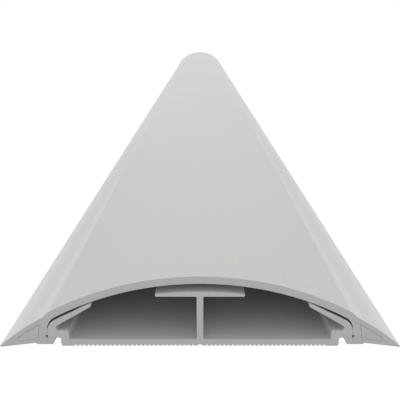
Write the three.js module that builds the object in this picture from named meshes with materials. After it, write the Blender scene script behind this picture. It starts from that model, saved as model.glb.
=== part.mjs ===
// Floor cord cover: two long plastic profiles clipped together, lying on the floor.
// The flat base has a centre divider, a serrated underside and two clip arms.
// The arched cover lies over the arms and hooks its toes under the base's knobs.
// A core strip fills the chamber inside each of the cover's two sloping skirts.
// Millimetres, +Z up, length along Y. The origin is at the middle of the underside,
// on the floor. The profiles are drawn with their heights above the base's underside.

import * as THREE from 'three';

// Overall sizes
const LENGTH = 1000;
const WIDTH = 75;
const HEIGHT = 14.74; // from the floor, which the cover's edges stand on
const EDGE_DROP = 0.26; // the cover's edges reach this far below the base's underside

// Clearances
const GRIP_FIT = 0.02; // between the cover and the base where the cover grips it
const ARM_GAP = 0.46; // between a clip arm and the cover
const ARM_TIP_GAP = 0.14; // the same gap at the arm's tip
const ARM_TIP_RUN = 3.58; // width over which the gap closes down towards the tip
const CORE_FIT = 0.05; // around each core strip
const DIVIDER_HEADROOM = 1.59; // between the divider and the cover's underside

// Cover: crown, crease and shoulder
const COVER_WALL = 1.48;
const SKIRT_WIDTH = 9.2; // from the leg's gripping face out to the edge
const CREASE_INSET = 0.55; // the crease lies this far inside the gripping face
const CREASE_RISE = 5.44; // height of the crease above the hook space
const SHOULDER_RUN = 1.19;
const SHOULDER_DROP = 1.11;
const BEND_RADIUS = 3.2; // inside bend from the crown into the leg

// Cover: skirt, leg and toe
const FLANK_RADIUS = 48;
const EDGE_THICKNESS = 0.2;
const SKIRT_LIFT = 0.64; // height of the skirt's underside beside the leg
const LEG_LIFT = 0.36; // height of the leg's foot
const LEG_FOOT_REACH = 1.99; // the foot reaches this far outside the gripping face
const LEG_STEP_RUN = 0.45; // slope between the foot and the skirt's underside
const TOE_REACH = 1.51; // the toe reaches this far inside the gripping face
const TOE_SLANT = 0.62;
const RELIEF_RADIUS = 0.34; // rounded groove in the corner above the toe
const RELIEF_OUT = 0.14;
const RELIEF_UP = 0.29;

// Chamber in each skirt, which the core strip fills
const CHAMBER_ROOF = 0.92; // wall above it, under the flank
const CHAMBER_FLOOR = 0.84; // wall below it, beside the leg
const CHAMBER_WALL_TOP = 1.3; // wall beside the leg, at its top corner
const CHAMBER_WALL_FOOT = 1.75; // wall beside the leg, at its bottom corner
const CHAMBER_END_HEIGHT = 0.65; // height of its blunt outer end

// Base: plate, side walls and shelves
const PLATE_TOP = 1.43;
const SIDE_WALL = 1.54;
const HOOK_SPACE = 1.76; // height under the shelves, where the toes hook in
const HOOK_FILLET = 0.2;
const SHELF_THICKNESS = 1.57;
const CORNER_FILLET = 0.15;

// Base: knobs and clip arms
const KNOB_REACH = 2.39; // from the side wall's outer face to the knob's face
const KNOB_WALL = 1.64;
const KNOB_ROUND = 0.3;
const KNOB_FILLET = 0.32; // in the corner between the knob and the shelf's top
const ARM_REACH = 8.38; // from the knob's face to the arm's tip
const ARM_ROOT = 1.19;
const ARM_TIP = 0.8;

// Base: centre divider
const WEB_THICKNESS = 1.21;
const WEB_FILLET = 0.18;
const FLANGE_WIDTH = 16.2;
const FLANGE_THICKNESS = 1.02;
const FLANGE_CROWN = 0.5; // rise of its top from the edges to the middle
const FLANGE_ROUND = 0.2;

// Base: serrated underside
const FOOT_WIDTH = 2.09; // plain foot under each side wall
const FOOT_ROUND = 0.3;
const TOOTH_PITCH = 0.82;
const TOOTH_LAND = 0.32;
const NOTCH_DEPTH = 0.28;
const NOTCH_TOP = 0.14;
const MIDDLE_NOTCH_WIDTH = 1.5;
const MIDDLE_NOTCH_TOP = 0.5;

const CHORD_TOLERANCE = 0.004; // arcs stay this close to the true curve
const QUARTER = Math.PI / 2;

// Places shared by the two profiles, on the right-hand side
const edgeX = WIDTH / 2;
const crownTop = HEIGHT - EDGE_DROP;
const legX = edgeX - SKIRT_WIDTH;
const creaseX = legX - CREASE_INSET;
const creaseZ = HOOK_SPACE + CREASE_RISE;
const knobX = legX - GRIP_FIT;
const baseX = knobX - KNOB_REACH;

// Crown arc through the two creases, and the ceiling that runs parallel below it
const crownRise = crownTop - creaseZ;
const crownRadius = (creaseX ** 2 + crownRise ** 2) / (2 * crownRise);
const crownCentre = new THREE.Vector2(0, crownTop - crownRadius);
const ceilingRadius = crownRadius - COVER_WALL;

// Bend that joins the ceiling to the leg's upright gripping face
const bendX = legX - BEND_RADIUS;
const bendDrop = Math.sqrt((ceilingRadius - BEND_RADIUS) ** 2 - bendX ** 2);
const bendCentre = new THREE.Vector2(bendX, crownCentre.y + bendDrop);
const bendAngle = Math.atan2(bendDrop, bendX);

// Flank arc of the skirt, from the foot of the shoulder to the edge
const flankTop = new THREE.Vector2(creaseX + SHOULDER_RUN, creaseZ - SHOULDER_DROP);
const flankEnd = new THREE.Vector2(edgeX, EDGE_THICKNESS - EDGE_DROP);
const flankCentre = centreBelow(flankTop, flankEnd, FLANK_RADIUS);

// Skirt's underside: its edge on the floor, and where it meets the leg's step
const underEdge = new THREE.Vector2(edgeX, -EDGE_DROP);
const underLeg = new THREE.Vector2(legX + LEG_FOOT_REACH + LEG_STEP_RUN, SKIRT_LIFT);

function point(x, z) {
  return new THREE.Vector2(x, z);
}

// Centre of the circle through two points, on the side that makes the arc bulge up
function centreBelow(left, right, radius) {
  const chord = right.clone().sub(left);
  const depth = Math.sqrt(radius ** 2 - chord.lengthSq() / 4);
  const down = new THREE.Vector2(chord.y, -chord.x).setLength(depth);
  return left.clone().add(right).multiplyScalar(0.5).add(down);
}

function onCircle(centre, radius, angle) {
  return point(centre.x + radius * Math.cos(angle), centre.y + radius * Math.sin(angle));
}

function heightOnCircle(centre, radius, x) {
  return centre.y + Math.sqrt(radius ** 2 - (x - centre.x) ** 2);
}

function angleFrom(centre, target) {
  return Math.atan2(target.y - centre.y, target.x - centre.x);
}

// Points along an arc whose radius may change evenly from its start to its end
function arc(centre, startRadius, startAngle, endAngle, endRadius = startRadius) {
  const stepAngle = 2 * Math.acos(1 - CHORD_TOLERANCE / startRadius);
  const steps = Math.max(2, Math.ceil(Math.abs(endAngle - startAngle) / stepAngle));
  const points = [];
  for (let step = 0; step <= steps; step += 1) {
    const share = step / steps;
    const radius = THREE.MathUtils.lerp(startRadius, endRadius, share);
    points.push(onCircle(centre, radius, THREE.MathUtils.lerp(startAngle, endAngle, share)));
  }
  return points;
}

// Height at x on the line from the edge to the leg's step, raised square to it by a wall
function chamberFloor(x, wall) {
  const slope = (underLeg.y - underEdge.y) / (underLeg.x - underEdge.x);
  return underEdge.y + slope * (x - underEdge.x) + wall * Math.hypot(1, slope);
}

// Where the chamber has closed down to its blunt end, found by halving the range
function chamberEndX() {
  const roofRadius = FLANK_RADIUS - CHAMBER_ROOF;
  let inside = legX + CHAMBER_WALL_FOOT;
  let outside = edgeX;
  while (outside - inside > CHORD_TOLERANCE) {
    const middle = (inside + outside) / 2;
    const roof = heightOnCircle(flankCentre, roofRadius, middle);
    const isOpen = roof - chamberFloor(middle, CHAMBER_FLOOR) > CHAMBER_END_HEIGHT;
    inside = isOpen ? middle : inside;
    outside = isOpen ? outside : middle;
  }
  return inside;
}

// Outline of the right-hand chamber, or of the core when it is drawn in by a slack
function chamberOutline(slack) {
  const roofRadius = FLANK_RADIUS - CHAMBER_ROOF - slack;
  const topX = legX + CHAMBER_WALL_TOP + slack;
  const footX = legX + CHAMBER_WALL_FOOT + slack;
  const endX = chamberEndX() - slack;
  const top = point(topX, heightOnCircle(flankCentre, roofRadius, topX));
  const end = point(endX, heightOnCircle(flankCentre, roofRadius, endX));
  return [
    point(footX, chamberFloor(footX, CHAMBER_FLOOR + slack)),
    ...arc(flankCentre, roofRadius, angleFrom(flankCentre, top), angleFrom(flankCentre, end)),
    point(endX, chamberFloor(endX, CHAMBER_FLOOR + slack)),
  ];
}

function mirrored(points) {
  return points.map((p) => point(-p.x, p.y)).reverse();
}

// Whole outline, anticlockwise, from a right half that runs up from the middle line to it
function wholeOutline(half) {
  return [...half, ...mirrored(half.slice(1, -1))];
}

// Leg, toe and the relief groove between them, from the floor side to the bend
function hookOutline() {
  const toeTop = HOOK_SPACE - GRIP_FIT;
  const relief = point(legX + RELIEF_OUT, toeTop + RELIEF_UP);
  const onToe = point(relief.x - Math.sqrt(RELIEF_RADIUS ** 2 - RELIEF_UP ** 2), toeTop);
  const onLeg = point(legX, relief.y + Math.sqrt(RELIEF_RADIUS ** 2 - RELIEF_OUT ** 2));
  return [
    point(legX + LEG_FOOT_REACH, LEG_LIFT),
    point(legX - TOE_REACH + TOE_SLANT, LEG_LIFT),
    point(legX - TOE_REACH, toeTop),
    ...arc(relief, RELIEF_RADIUS, angleFrom(relief, onToe), angleFrom(relief, onLeg)),
  ];
}

// Right half of the cover, from the crown's middle round to the ceiling's middle
function coverHalf() {
  const crease = point(creaseX, creaseZ);
  return [
    ...arc(crownCentre, crownRadius, QUARTER, angleFrom(crownCentre, crease)),
    ...arc(
      flankCentre,
      FLANK_RADIUS,
      angleFrom(flankCentre, flankTop),
      angleFrom(flankCentre, flankEnd),
    ),
    underEdge,
    underLeg,
    ...hookOutline(),
    ...arc(bendCentre, BEND_RADIUS, 0, bendAngle),
    ...arc(crownCentre, ceilingRadius, bendAngle, QUARTER).slice(1),
  ];
}

// Serrations from the middle notch out to the plain foot
function undersideHalf() {
  const firstLand = MIDDLE_NOTCH_WIDTH / 2;
  const span = baseX - FOOT_WIDTH - TOOTH_LAND - firstLand;
  const notchCount = Math.round(span / TOOTH_PITCH);
  const notchWidth = span / notchCount - TOOTH_LAND;
  const notchSlope = (notchWidth - NOTCH_TOP) / 2;
  const points = [
    point(0, NOTCH_DEPTH),
    point(MIDDLE_NOTCH_TOP / 2, NOTCH_DEPTH),
    point(firstLand, 0),
  ];
  for (let notch = 0; notch < notchCount; notch += 1) {
    const start = firstLand + TOOTH_LAND + notch * (span / notchCount);
    points.push(
      point(start, 0),
      point(start + notchSlope, NOTCH_DEPTH),
      point(start + notchSlope + NOTCH_TOP, NOTCH_DEPTH),
      point(start + notchWidth, 0),
    );
  }
  return points;
}

// Side wall, shelf, knob and clip arm, from the floor round to the plate's top
function clipOutline() {
  const footCentre = point(baseX - FOOT_ROUND, FOOT_ROUND);
  const hookCentre = point(baseX + HOOK_FILLET, HOOK_SPACE - HOOK_FILLET);
  const knobCentre = point(knobX - KNOB_ROUND, HOOK_SPACE + KNOB_ROUND);
  const shelfTop = HOOK_SPACE + SHELF_THICKNESS;
  const wallX = baseX - SIDE_WALL;
  const plateCorner = point(wallX - CORNER_FILLET, PLATE_TOP + CORNER_FILLET);

  const armRadius = ceilingRadius - ARM_GAP;
  const tipRadius = ceilingRadius - ARM_TIP_GAP;
  const tipX = knobX - ARM_REACH;
  const tip = point(tipX, heightOnCircle(crownCentre, tipRadius, tipX));
  const closingX = tipX + ARM_TIP_RUN;
  const closing = point(closingX, heightOnCircle(crownCentre, armRadius, closingX));
  const closingAngle = angleFrom(crownCentre, closing);
  const tipAngle = angleFrom(crownCentre, tip);
  const root = onCircle(crownCentre, armRadius - ARM_ROOT, bendAngle);
  const slope = (tip.y - ARM_TIP - root.y) / (tipX - root.x);
  const knobInnerX = knobX - KNOB_WALL;
  const shelfCorner = point(knobInnerX - KNOB_FILLET, shelfTop + KNOB_FILLET);

  return [
    ...arc(footCentre, FOOT_ROUND, -QUARTER, 0),
    ...arc(hookCentre, HOOK_FILLET, 2 * QUARTER, QUARTER),
    ...arc(knobCentre, KNOB_ROUND, -QUARTER, 0),
    ...arc(bendCentre, BEND_RADIUS - GRIP_FIT, 0, bendAngle, BEND_RADIUS - ARM_GAP),
    ...arc(crownCentre, armRadius, bendAngle, closingAngle).slice(1),
    ...arc(crownCentre, armRadius, closingAngle, tipAngle, tipRadius).slice(1),
    point(tipX, tip.y - ARM_TIP),
    point(knobInnerX, root.y + slope * (knobInnerX - root.x)),
    ...arc(shelfCorner, KNOB_FILLET, 0, -QUARTER),
    point(wallX, shelfTop),
    ...arc(plateCorner, CORNER_FILLET, 0, -QUARTER),
  ];
}

// Divider's web and flange, from the plate's top up to the middle line
function dividerOutline() {
  const webX = WEB_THICKNESS / 2;
  const flangeX = FLANGE_WIDTH / 2;
  const flangeTop = crownTop - COVER_WALL - DIVIDER_HEADROOM;
  const flangeBottom = flangeTop - FLANGE_THICKNESS;
  const webCorner = point(webX + WEB_FILLET, flangeBottom - WEB_FILLET);
  const flangeCorner = point(flangeX - FLANGE_ROUND, flangeBottom + FLANGE_ROUND);
  const topRadius = (flangeX ** 2 + FLANGE_CROWN ** 2) / (2 * FLANGE_CROWN);
  const topCentre = point(0, flangeTop - topRadius);
  const topEdge = point(flangeX, flangeTop - FLANGE_CROWN);
  return [
    point(webX, PLATE_TOP),
    ...arc(webCorner, WEB_FILLET, 2 * QUARTER, QUARTER),
    ...arc(flangeCorner, FLANGE_ROUND, -QUARTER, 0),
    ...arc(topCentre, topRadius, angleFrom(topCentre, topEdge), QUARTER),
  ];
}

// Profile drawn across the width and height, run out along the whole length
function runAlongLength(name, outline, holes, material) {
  const shape = new THREE.Shape(outline);
  shape.holes = holes.map((hole) => new THREE.Path(hole));
  const geometry = new THREE.ExtrudeGeometry(shape, { depth: LENGTH, bevelEnabled: false });
  const mesh = new THREE.Mesh(geometry, material);
  mesh.name = name;
  mesh.rotation.x = QUARTER;
  mesh.position.set(0, LENGTH / 2, EDGE_DROP);
  return mesh;
}

function plastic(color, roughness) {
  return new THREE.MeshStandardMaterial({ color, roughness, metalness: 0 });
}

const basePlastic = plastic(0xc6c6c2, 0.5);
const coverPlastic = plastic(0xcececb, 0.45);
const corePlastic = plastic(0xc2c2be, 0.6);

const baseOutline = wholeOutline([...undersideHalf(), ...clipOutline(), ...dividerOutline()]);
const coverOutline = wholeOutline(coverHalf().reverse());
const chamber = chamberOutline(0);
const core = chamberOutline(CORE_FIT);

const cordCover = new THREE.Group();
cordCover.add(
  runAlongLength('base', baseOutline, [], basePlastic),
  runAlongLength('cover', coverOutline, [chamber, mirrored(chamber)], coverPlastic),
  runAlongLength('skirt_core_left', mirrored(core), [], corePlastic),
  runAlongLength('skirt_core_right', core, [], corePlastic),
);

export default cordCover;
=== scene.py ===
import math

import bpy
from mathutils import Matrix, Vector


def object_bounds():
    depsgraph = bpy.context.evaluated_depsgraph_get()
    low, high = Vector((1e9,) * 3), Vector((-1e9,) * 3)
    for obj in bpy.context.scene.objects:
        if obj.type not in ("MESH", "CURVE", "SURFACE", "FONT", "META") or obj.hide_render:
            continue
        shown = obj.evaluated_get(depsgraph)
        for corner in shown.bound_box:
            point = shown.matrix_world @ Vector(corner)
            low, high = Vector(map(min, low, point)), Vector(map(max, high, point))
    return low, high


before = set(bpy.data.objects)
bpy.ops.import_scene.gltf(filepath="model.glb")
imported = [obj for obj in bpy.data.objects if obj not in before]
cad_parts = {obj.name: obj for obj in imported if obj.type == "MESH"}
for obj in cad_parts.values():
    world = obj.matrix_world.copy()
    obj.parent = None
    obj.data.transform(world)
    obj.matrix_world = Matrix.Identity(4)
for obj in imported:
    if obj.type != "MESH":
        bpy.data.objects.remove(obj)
CAD_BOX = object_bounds()

MM = 0.001

# Camera, in front of the near end and looking down along the length
FRAME_PIXELS = 400
FOCAL_PIXELS = 495.0
SENSOR_WIDTH = 36.0
CAMERA_PITCH = math.radians(18.83)
CAMERA_AHEAD = 78.88 * MM
CAMERA_HEIGHT = 56.0 * MM
CLIP_START = 5 * MM

# Places on the part; the crease and the shoulder's foot are measured from the middle
NEAR_END = CAD_BOX[0].y
FAR_END = CAD_BOX[1].y
EDGE_X = CAD_BOX[1].x
CREASE_X = 27.75 * MM
SHOULDER_FOOT_X = 28.94 * MM

# Meshes: close vertices join, flat faces merge, and edges sharper than the angle are broken
WELD_REACH = 0.002 * MM
FLAT_ANGLE = math.radians(0.05)
EDGE_ROUND = 0.03 * MM
EDGE_SEGMENTS = 2
SHARP_ANGLE = math.radians(25)
CREASE_ANGLE = math.radians(12)

# Plastics: sRGB levels of the drawn faces and of the sawn ends, and the roughness
BASE_PLASTIC = {"level": 0.768, "cut_level": 0.798, "roughness": 0.5}
COVER_PLASTIC = {"level": 0.774, "cut_level": 0.788, "roughness": 0.42}
CORE_PLASTIC = {"level": 0.75, "cut_level": 0.79, "roughness": 0.6}
YELLOW = 0.033
PLASTIC_IOR = 1.5

# Texture: features per metre along X, Y and Z, and the swing in tone, roughness and depth
CLOUD_SCALE = (18, 7, 18)
DIE_LINE_SCALE = (2600, 5, 2600)
GRAIN_SCALE = (5200, 5200, 5200)
SAW_SCALE = (160, 400, 5200)
PATCH_SCALE = (300, 30, 300)
CLOUD_TONE = 0.015
DIE_LINE_TONE = 0.015
SAW_TONE = 0.02
ROUGHNESS_SWING = 0.03
CUT_ROUGHER = 0.12
DIE_LINE_DEPTH = 0.004 * MM
GRAIN_DEPTH = 0.003 * MM
SAW_DEPTH = 0.01 * MM

# Share of a normal along the length, where a face changes from drawn to sawn
END_FACING = (0.55, 0.9)

# Wear on rims and creases, in grainy and patchy spots
WEAR_REACH = 0.9 * MM
WEAR_FULL = 0.1 * MM
WEAR_GRAIN = (0.35, 0.7)
WEAR_PATCHES = (0.4, 0.65)
WEAR_SHARE = 0.35
WEAR_LIGHTER = 0.07
WEAR_ROUGHER = 0.2

# Painted light on the cover: the shoulders are lightest, the skirts a little less light and the
# thin edges light, in place of side light and light through the thin edges
SHOULDER_PAINTED_LIGHT = 1.18
CREASE_BLEND = 0.12 * MM
SHOULDER_START = (CREASE_X - CREASE_BLEND, CREASE_X + CREASE_BLEND)
SKIRT_PAINTED_LIGHT = 1.105
SKIRT_BLEND = 2.0 * MM
SKIRT_START = (SHOULDER_FOOT_X, SHOULDER_FOOT_X + SKIRT_BLEND)
EDGE_PAINTED_LIGHT = 1.14
EDGE_REACH = 5.5 * MM
EDGE_FULL = 1.0 * MM
EDGE_START = (EDGE_X - EDGE_REACH, EDGE_X - EDGE_FULL)

# Shoulders and skirts keep only this share of their painted light farther than the reach from
# an end
MIDDLE_SHARE = 0.45
END_REACH = 150 * MM

# Painted shade: the narrow slots over the clip arms are darkened in colour, where shade falls
SLOT_PAINTED_SHADE = 0.57
SLOT_X = 20.0 * MM
SLOT_Z = 4.0 * MM
SLOT_BLEND = 0.4 * MM
SLOT_FACING = (0.3, 0.7)
ARM_SIDE = 1
COVER_SIDE = -1

# Brightness of the studio's surfaces, where 1 is a white wall
LIGHT_EVEN = 0.548
LIGHT_CEILING = 0.355
LIGHT_BACK_WALL = 0.62
BACK_WALL_FOCUS = 6.0
LIGHT_SIDE_BOX = 1.14
LIGHT_FLOOR = 0.296
FLOOR_WHITE = 0.9
FLOOR_COLOUR = (0.3, 0.3, 0.3, 1)
FLOOR_HALF = 6.0
SIDE_BOX_PLACE = (2.8, 0, 1.05)
SIDE_BOX_SIZE = (4.0, 1.8)
WHITE = (1, 1, 1, 1)


def add_camera():
    data = bpy.data.cameras.new("camera")
    data.sensor_width = SENSOR_WIDTH
    data.lens = SENSOR_WIDTH * FOCAL_PIXELS / FRAME_PIXELS
    data.clip_start = CLIP_START
    camera = bpy.data.objects.new("camera", data)
    camera.location = (0, NEAR_END - CAMERA_AHEAD, CAMERA_HEIGHT)
    camera.rotation_euler = (math.pi / 2 - CAMERA_PITCH, 0, 0)
    bpy.context.scene.collection.objects.link(camera)
    bpy.context.scene.camera = camera


class Nodes:
    """A material's or world's node tree, with short calls for its nodes and links."""

    def __init__(self, tree):
        self.tree = tree
        self.tree.nodes.clear()

    def add(self, kind, **settings):
        node = self.tree.nodes.new(kind)
        for name, value in settings.items():
            setattr(node, name, value)
        return node

    def feed(self, socket, value):
        if isinstance(value, bpy.types.NodeSocket):
            self.tree.links.new(value, socket)
        else:
            socket.default_value = value

    def math(self, operation, *values, clamp=False):
        node = self.add("ShaderNodeMath", operation=operation, use_clamp=clamp)
        for socket, value in zip(node.inputs, values):
            self.feed(socket, value)
        return node.outputs[0]

    def split(self, vector):
        node = self.add("ShaderNodeSeparateXYZ")
        self.feed(node.inputs[0], vector)
        return node.outputs

    def ramp(self, value, low, high, to_low=0.0, to_high=1.0):
        node = self.add("ShaderNodeMapRange", interpolation_type="SMOOTHSTEP")
        for socket, given in zip(node.inputs, (value, low, high, to_low, to_high)):
            self.feed(socket, given)
        return node.outputs[0]

    def noise(self, coordinates, scale, detail=2.0, roughness=0.5):
        """Noise from 0 to 1, with a scale in features per metre along X, Y and Z."""
        mapping = self.add("ShaderNodeMapping")
        self.feed(mapping.inputs["Vector"], coordinates)
        mapping.inputs["Scale"].default_value = scale
        node = self.add("ShaderNodeTexNoise")
        self.feed(node.inputs["Vector"], mapping.outputs[0])
        node.inputs["Scale"].default_value = 1.0
        node.inputs["Detail"].default_value = detail
        node.inputs["Roughness"].default_value = roughness
        return node.outputs["Fac"]

    def bump(self, height, depth, normal=None):
        """Relief of the given depth in metres, on top of an earlier one."""
        node = self.add("ShaderNodeBump")
        node.inputs["Strength"].default_value = 1.0
        node.inputs["Distance"].default_value = depth
        self.feed(node.inputs["Height"], height)
        if normal is not None:
            self.feed(node.inputs["Normal"], normal)
        return node.outputs[0]

    def tint(self, colour, factor):
        """The colour multiplied by a factor, lighter above 1 and darker below it."""
        node = self.add("ShaderNodeMix", data_type="RGBA", blend_type="MULTIPLY")
        node.inputs[0].default_value = 1.0
        self.feed(node.inputs[6], colour)
        combine = self.add("ShaderNodeCombineColor")
        for socket in combine.inputs:
            self.feed(socket, factor)
        self.feed(node.inputs[7], combine.outputs[0])
        return node.outputs[2]

    def blend(self, factor, first, second):
        node = self.add("ShaderNodeMix", data_type="RGBA")
        self.feed(node.inputs[0], factor)
        self.feed(node.inputs[6], first)
        self.feed(node.inputs[7], second)
        return node.outputs[2]

    def choose(self, factor, first, second):
        node = self.add("ShaderNodeMixShader")
        self.feed(node.inputs[0], factor)
        self.feed(node.inputs[1], first)
        self.feed(node.inputs[2], second)
        return node.outputs[0]

    def glow(self, kind, strength):
        node = self.add(kind)
        node.inputs["Color"].default_value = WHITE
        self.feed(node.inputs["Strength"], strength)
        return node.outputs[0]


def grey(level):
    """A linear colour from an sRGB level of 0 to 1, with a trace of yellow."""
    linear = ((level + 0.055) / 1.055) ** 2.4
    return (linear, linear, linear * (1 - YELLOW), 1.0)


class DrawnPlastic(Nodes):
    """Plastic with fine lines along its length from the die, and sawn end faces."""

    def __init__(self, name):
        self.material = bpy.data.materials.new(name)
        self.material.use_nodes = True
        super().__init__(self.material.node_tree)
        texture = self.add("ShaderNodeTexCoord")
        self.place = texture.outputs["Object"]
        self.right, along, self.up = self.split(self.place)
        self.across = self.math("ABSOLUTE", self.right)
        self.along = self.math("ABSOLUTE", along)
        self.facing = self.split(texture.outputs["Normal"])
        end_facing = self.math("ABSOLUTE", self.facing[1])
        self.cut = self.ramp(end_facing, *END_FACING)
        self.drawn = self.math("SUBTRACT", 1.0, self.cut)
        self.cloud = self.noise(self.place, CLOUD_SCALE, detail=3)
        self.die_lines = self.noise(self.place, DIE_LINE_SCALE, detail=3, roughness=0.6)
        self.grain = self.noise(self.place, GRAIN_SCALE)
        self.saw = self.noise(self.place, SAW_SCALE, detail=3, roughness=0.65)

    def swing(self, noise, amount, middle=0.0, spread=0.3):
        """A value that a noise moves up and down from the middle, by the amount at most."""
        low, high = middle - amount, middle + amount
        return self.ramp(noise, 0.5 - spread, 0.5 + spread, low, high)

    def shade_past(self, start, shade):
        """1 up to the first distance from the middle, and the shade from the second one on."""
        return self.ramp(self.across, *start, 1.0, shade)

    def worn(self, wear_lines):
        """Where hands and feet have rubbed it: the cut ends' rims and the given lines."""
        rim = self.ramp(self.along, FAR_END - WEAR_REACH, FAR_END - WEAR_FULL)
        wear = self.math("MULTIPLY", rim, self.ramp(self.grain, *WEAR_GRAIN))
        patchy = self.ramp(self.noise(self.place, PATCH_SCALE), *WEAR_PATCHES)
        for line in wear_lines:
            offset = self.math("ABSOLUTE", self.math("SUBTRACT", self.across, line))
            rubbed = self.math("MULTIPLY", self.ramp(offset, WEAR_REACH, WEAR_FULL), patchy)
            wear = self.math("MAXIMUM", wear, rubbed)
        return self.math("MULTIPLY", self.math("MULTIPLY", wear, self.drawn), WEAR_SHARE)

    def painted_skirt_light(self):
        """Painted light across the section: 1 on the crown, lighter on shoulders, skirts and
        edges.
        """
        shoulder = self.shade_past(SHOULDER_START, SHOULDER_PAINTED_LIGHT)
        skirt = self.shade_past(SKIRT_START, SKIRT_PAINTED_LIGHT / SHOULDER_PAINTED_LIGHT)
        lighter = self.math("SUBTRACT", self.math("MULTIPLY", shoulder, skirt), 1.0)
        share = self.ramp(self.along, FAR_END - END_REACH, FAR_END, MIDDLE_SHARE, 1.0)
        lighter = self.math("ADD", self.math("MULTIPLY", lighter, share), 1.0)
        return self.math("MULTIPLY", lighter, self.shade_past(EDGE_START, EDGE_PAINTED_LIGHT))

    def painted_slot_shade(self, side):
        """Painted shade in the slots over the clip arms, on the arm's side or on the cover's.
        """
        outward = self.math("MULTIPLY", self.facing[0], self.math("SIGN", self.right))
        facing = self.math("MULTIPLY", self.math("ADD", outward, self.facing[2]), side)
        slot = self.ramp(facing, *SLOT_FACING)
        for value, start in ((self.across, SLOT_X), (self.up, SLOT_Z)):
            slot = self.math("MULTIPLY", slot, self.ramp(value, start, start + SLOT_BLEND))
        return self.ramp(slot, 0.0, 1.0, 1.0, SLOT_PAINTED_SHADE)

    def colour(self, level, cut_level, wear, slot_side):
        shade = self.swing(self.cloud, CLOUD_TONE, 1.0)
        # painted light: shoulders, skirts and thin edges lighter in colour
        shade = self.math("MULTIPLY", shade, self.painted_skirt_light())
        # painted shade: darker colour in the slots over the clip arms
        if slot_side is not None:
            shade = self.math("MULTIPLY", shade, self.painted_slot_shade(slot_side))
        shade = self.math("MULTIPLY", shade, self.swing(self.die_lines, DIE_LINE_TONE, 1.0))
        drawn = self.tint(grey(level), shade)
        cut = self.tint(grey(cut_level), self.swing(self.saw, SAW_TONE, 1.0))
        return self.blend(wear, self.blend(self.cut, drawn, cut), grey(level + WEAR_LIGHTER))

    def roughness(self, roughness, wear):
        clouds = self.swing(self.cloud, ROUGHNESS_SWING, spread=0.2)
        uneven = self.math("ADD", clouds, roughness)
        uneven = self.math("ADD", uneven, self.swing(self.die_lines, ROUGHNESS_SWING))
        uneven = self.math("ADD", uneven, self.math("MULTIPLY", self.cut, CUT_ROUGHER))
        worn = self.math("MULTIPLY", wear, WEAR_ROUGHER)
        return self.math("ADD", uneven, worn, clamp=True)

    def relief(self):
        relief = self.bump(self.math("MULTIPLY", self.die_lines, self.drawn), DIE_LINE_DEPTH)
        relief = self.bump(self.grain, GRAIN_DEPTH, relief)
        return self.bump(self.math("MULTIPLY", self.saw, self.cut), SAW_DEPTH, relief)


def drawn_plastic(name, level, cut_level, roughness, wear_lines=(), slot_side=None):
    nodes = DrawnPlastic(name)
    wear = nodes.worn(wear_lines)
    shader = nodes.add("ShaderNodeBsdfPrincipled")
    shader.inputs["IOR"].default_value = PLASTIC_IOR
    nodes.feed(shader.inputs["Base Color"], nodes.colour(level, cut_level, wear, slot_side))
    nodes.feed(shader.inputs["Roughness"], nodes.roughness(roughness, wear))
    nodes.feed(shader.inputs["Normal"], nodes.relief())
    out = nodes.add("ShaderNodeOutputMaterial")
    nodes.feed(out.inputs["Surface"], shader.outputs[0])
    return nodes.material


def finish_profile(node, material, sharp_angle):
    """Smooth arcs, softly broken edges and the node's own plastic."""
    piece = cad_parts[node]
    piece.data.materials.clear()
    piece.data.materials.append(material)
    piece.data.shade_smooth()
    weld = piece.modifiers.new("weld", "WELD")
    weld.merge_threshold = WELD_REACH
    flat = piece.modifiers.new("flat_faces", "DECIMATE")
    flat.decimate_type = "DISSOLVE"
    flat.angle_limit = FLAT_ANGLE
    bevel = piece.modifiers.new("broken_edges", "BEVEL")
    bevel.width = EDGE_ROUND
    bevel.segments = EDGE_SEGMENTS
    bevel.limit_method = "ANGLE"
    bevel.angle_limit = sharp_angle
    bevel.use_clamp_overlap = False
    shading = piece.modifiers.new("even_shading", "WEIGHTED_NORMAL")
    shading.mode = "FACE_AREA"


def dress_profiles():
    rubbed = {"wear_lines": (CREASE_X, SHOULDER_FOOT_X)}
    base = drawn_plastic("base_plastic", **BASE_PLASTIC, slot_side=ARM_SIDE)
    cover = drawn_plastic("cover_plastic", **COVER_PLASTIC, **rubbed, slot_side=COVER_SIDE)
    core = drawn_plastic("core_plastic", **CORE_PLASTIC)
    finish_profile("base", base, SHARP_ANGLE)
    finish_profile("cover", cover, CREASE_ANGLE)
    for side in ("left", "right"):
        finish_profile("skirt_core_" + side, core, SHARP_ANGLE)


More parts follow.
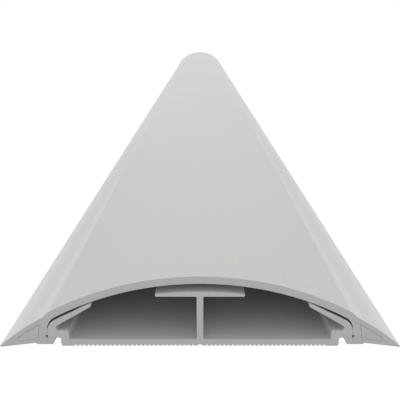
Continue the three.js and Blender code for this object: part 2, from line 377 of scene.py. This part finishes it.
def add_floor():
    """A white table, lit a little from below as a product table is."""
    signs = ((-1, -1), (1, -1), (1, 1), (-1, 1))
    corners = [(x * FLOOR_HALF, y * FLOOR_HALF, 0) for x, y in signs]
    data = bpy.data.meshes.new("floor")
    data.from_pydata(corners, [], [(0, 1, 2, 3)])
    floor = bpy.data.objects.new("floor", data)
    bpy.context.scene.collection.objects.link(floor)
    material = bpy.data.materials.new("floor")
    material.use_nodes = True
    nodes = Nodes(material.node_tree)
    seen = nodes.glow("ShaderNodeEmission", FLOOR_WHITE)
    bounced = nodes.glow("ShaderNodeEmission", LIGHT_FLOOR)
    light_path = nodes.add("ShaderNodeLightPath")
    matt = nodes.add("ShaderNodeBsdfDiffuse")
    matt.inputs["Color"].default_value = FLOOR_COLOUR
    both = nodes.add("ShaderNodeAddShader")
    nodes.feed(both.inputs[0], matt.outputs[0])
    nodes.feed(both.inputs[1], nodes.choose(light_path.outputs["Is Camera Ray"], bounced, seen))
    out = nodes.add("ShaderNodeOutputMaterial")
    nodes.feed(out.inputs["Surface"], both.outputs[0])
    data.materials.append(material)


def add_softbox(name, place, size, brightness):
    """A lit card that faces the middle of the part."""
    data = bpy.data.lights.new(name, "AREA")
    data.shape = "RECTANGLE"
    data.size, data.size_y = size
    data.energy = brightness * math.pi * data.size * data.size_y
    light = bpy.data.objects.new(name, data)
    light.location = place
    light.rotation_euler = (-Vector(place)).to_track_quat("-Z", "Y").to_euler()
    bpy.context.scene.collection.objects.link(light)


def add_world():
    """White room, brighter overhead and at the back."""
    world = bpy.data.worlds.new("studio")
    bpy.context.scene.world = world
    world.use_nodes = True
    nodes = Nodes(world.node_tree)
    place = nodes.add("ShaderNodeTexCoord")
    _, back, up = nodes.split(place.outputs["Generated"])
    ceiling = nodes.math("MULTIPLY", nodes.math("MAXIMUM", up, 0.0), LIGHT_CEILING)
    behind = nodes.math("POWER", nodes.math("MAXIMUM", back, 0.0), BACK_WALL_FOCUS)
    strength = nodes.math("ADD", ceiling, nodes.math("MULTIPLY", behind, LIGHT_BACK_WALL))
    strength = nodes.math("ADD", strength, LIGHT_EVEN)
    light_path = nodes.add("ShaderNodeLightPath")
    walls = nodes.glow("ShaderNodeBackground", strength)
    white = nodes.glow("ShaderNodeBackground", 1.0)
    room = nodes.choose(light_path.outputs["Is Camera Ray"], walls, white)
    out = nodes.add("ShaderNodeOutputWorld")
    nodes.feed(out.inputs["Surface"], room)


def light_studio():
    add_world()
    far, middle, high = SIDE_BOX_PLACE
    for side in (-1, 1):
        add_softbox("softbox_side", (side * far, middle, high), SIDE_BOX_SIZE, LIGHT_SIDE_BOX)
    bpy.context.scene.view_settings.view_transform = "Standard"


add_camera()
dress_profiles()
add_floor()
light_studio()
